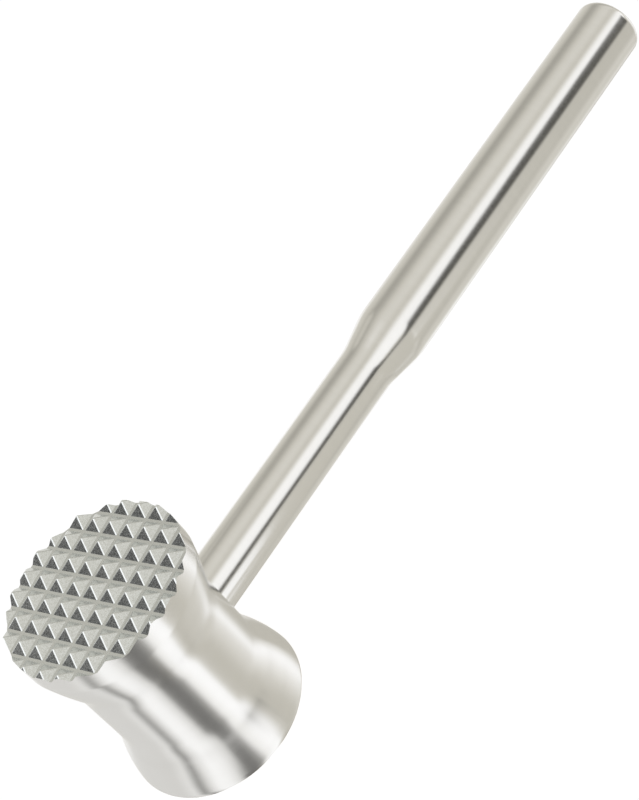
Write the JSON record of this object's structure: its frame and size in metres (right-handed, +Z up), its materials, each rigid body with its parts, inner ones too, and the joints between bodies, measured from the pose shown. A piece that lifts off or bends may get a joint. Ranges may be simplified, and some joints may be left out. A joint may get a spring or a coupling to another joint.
{
  "type": "meat mallet",
  "caption": "All-steel meat mallet with a spool-shaped head, a toothed tenderizing face, a smooth flattening face and a swaged tube handle.",
  "frame": {"origin": "centre of the smooth striking face, on which the mallet stands", "axes": "+Z up the head axis towards the toothed face, +X along the handle towards its end cap"},
  "size_m": [0.2586, 0.052, 0.0622],
  "materials": {
    "satin_steel": "satin-polished stainless steel",
    "cast_steel": "fine-blasted cast stainless steel",
    "core_steel": "plain turned steel",
    "fastener_steel": "bright fastener steel"
  },
  "bodies": {
    "root": {"head_shell": "satin_steel", "toothed_face": "cast_steel", "smooth_face": "satin_steel", "head_core": "core_steel", "stud_lock_pin": "fastener_steel", "tie_stud": "fastener_steel", "lock_washer": "fastener_steel", "handle_plug": "core_steel", "handle_tube": "satin_steel", "handle_end_cap": "satin_steel"}
  },
  "joints": []
}
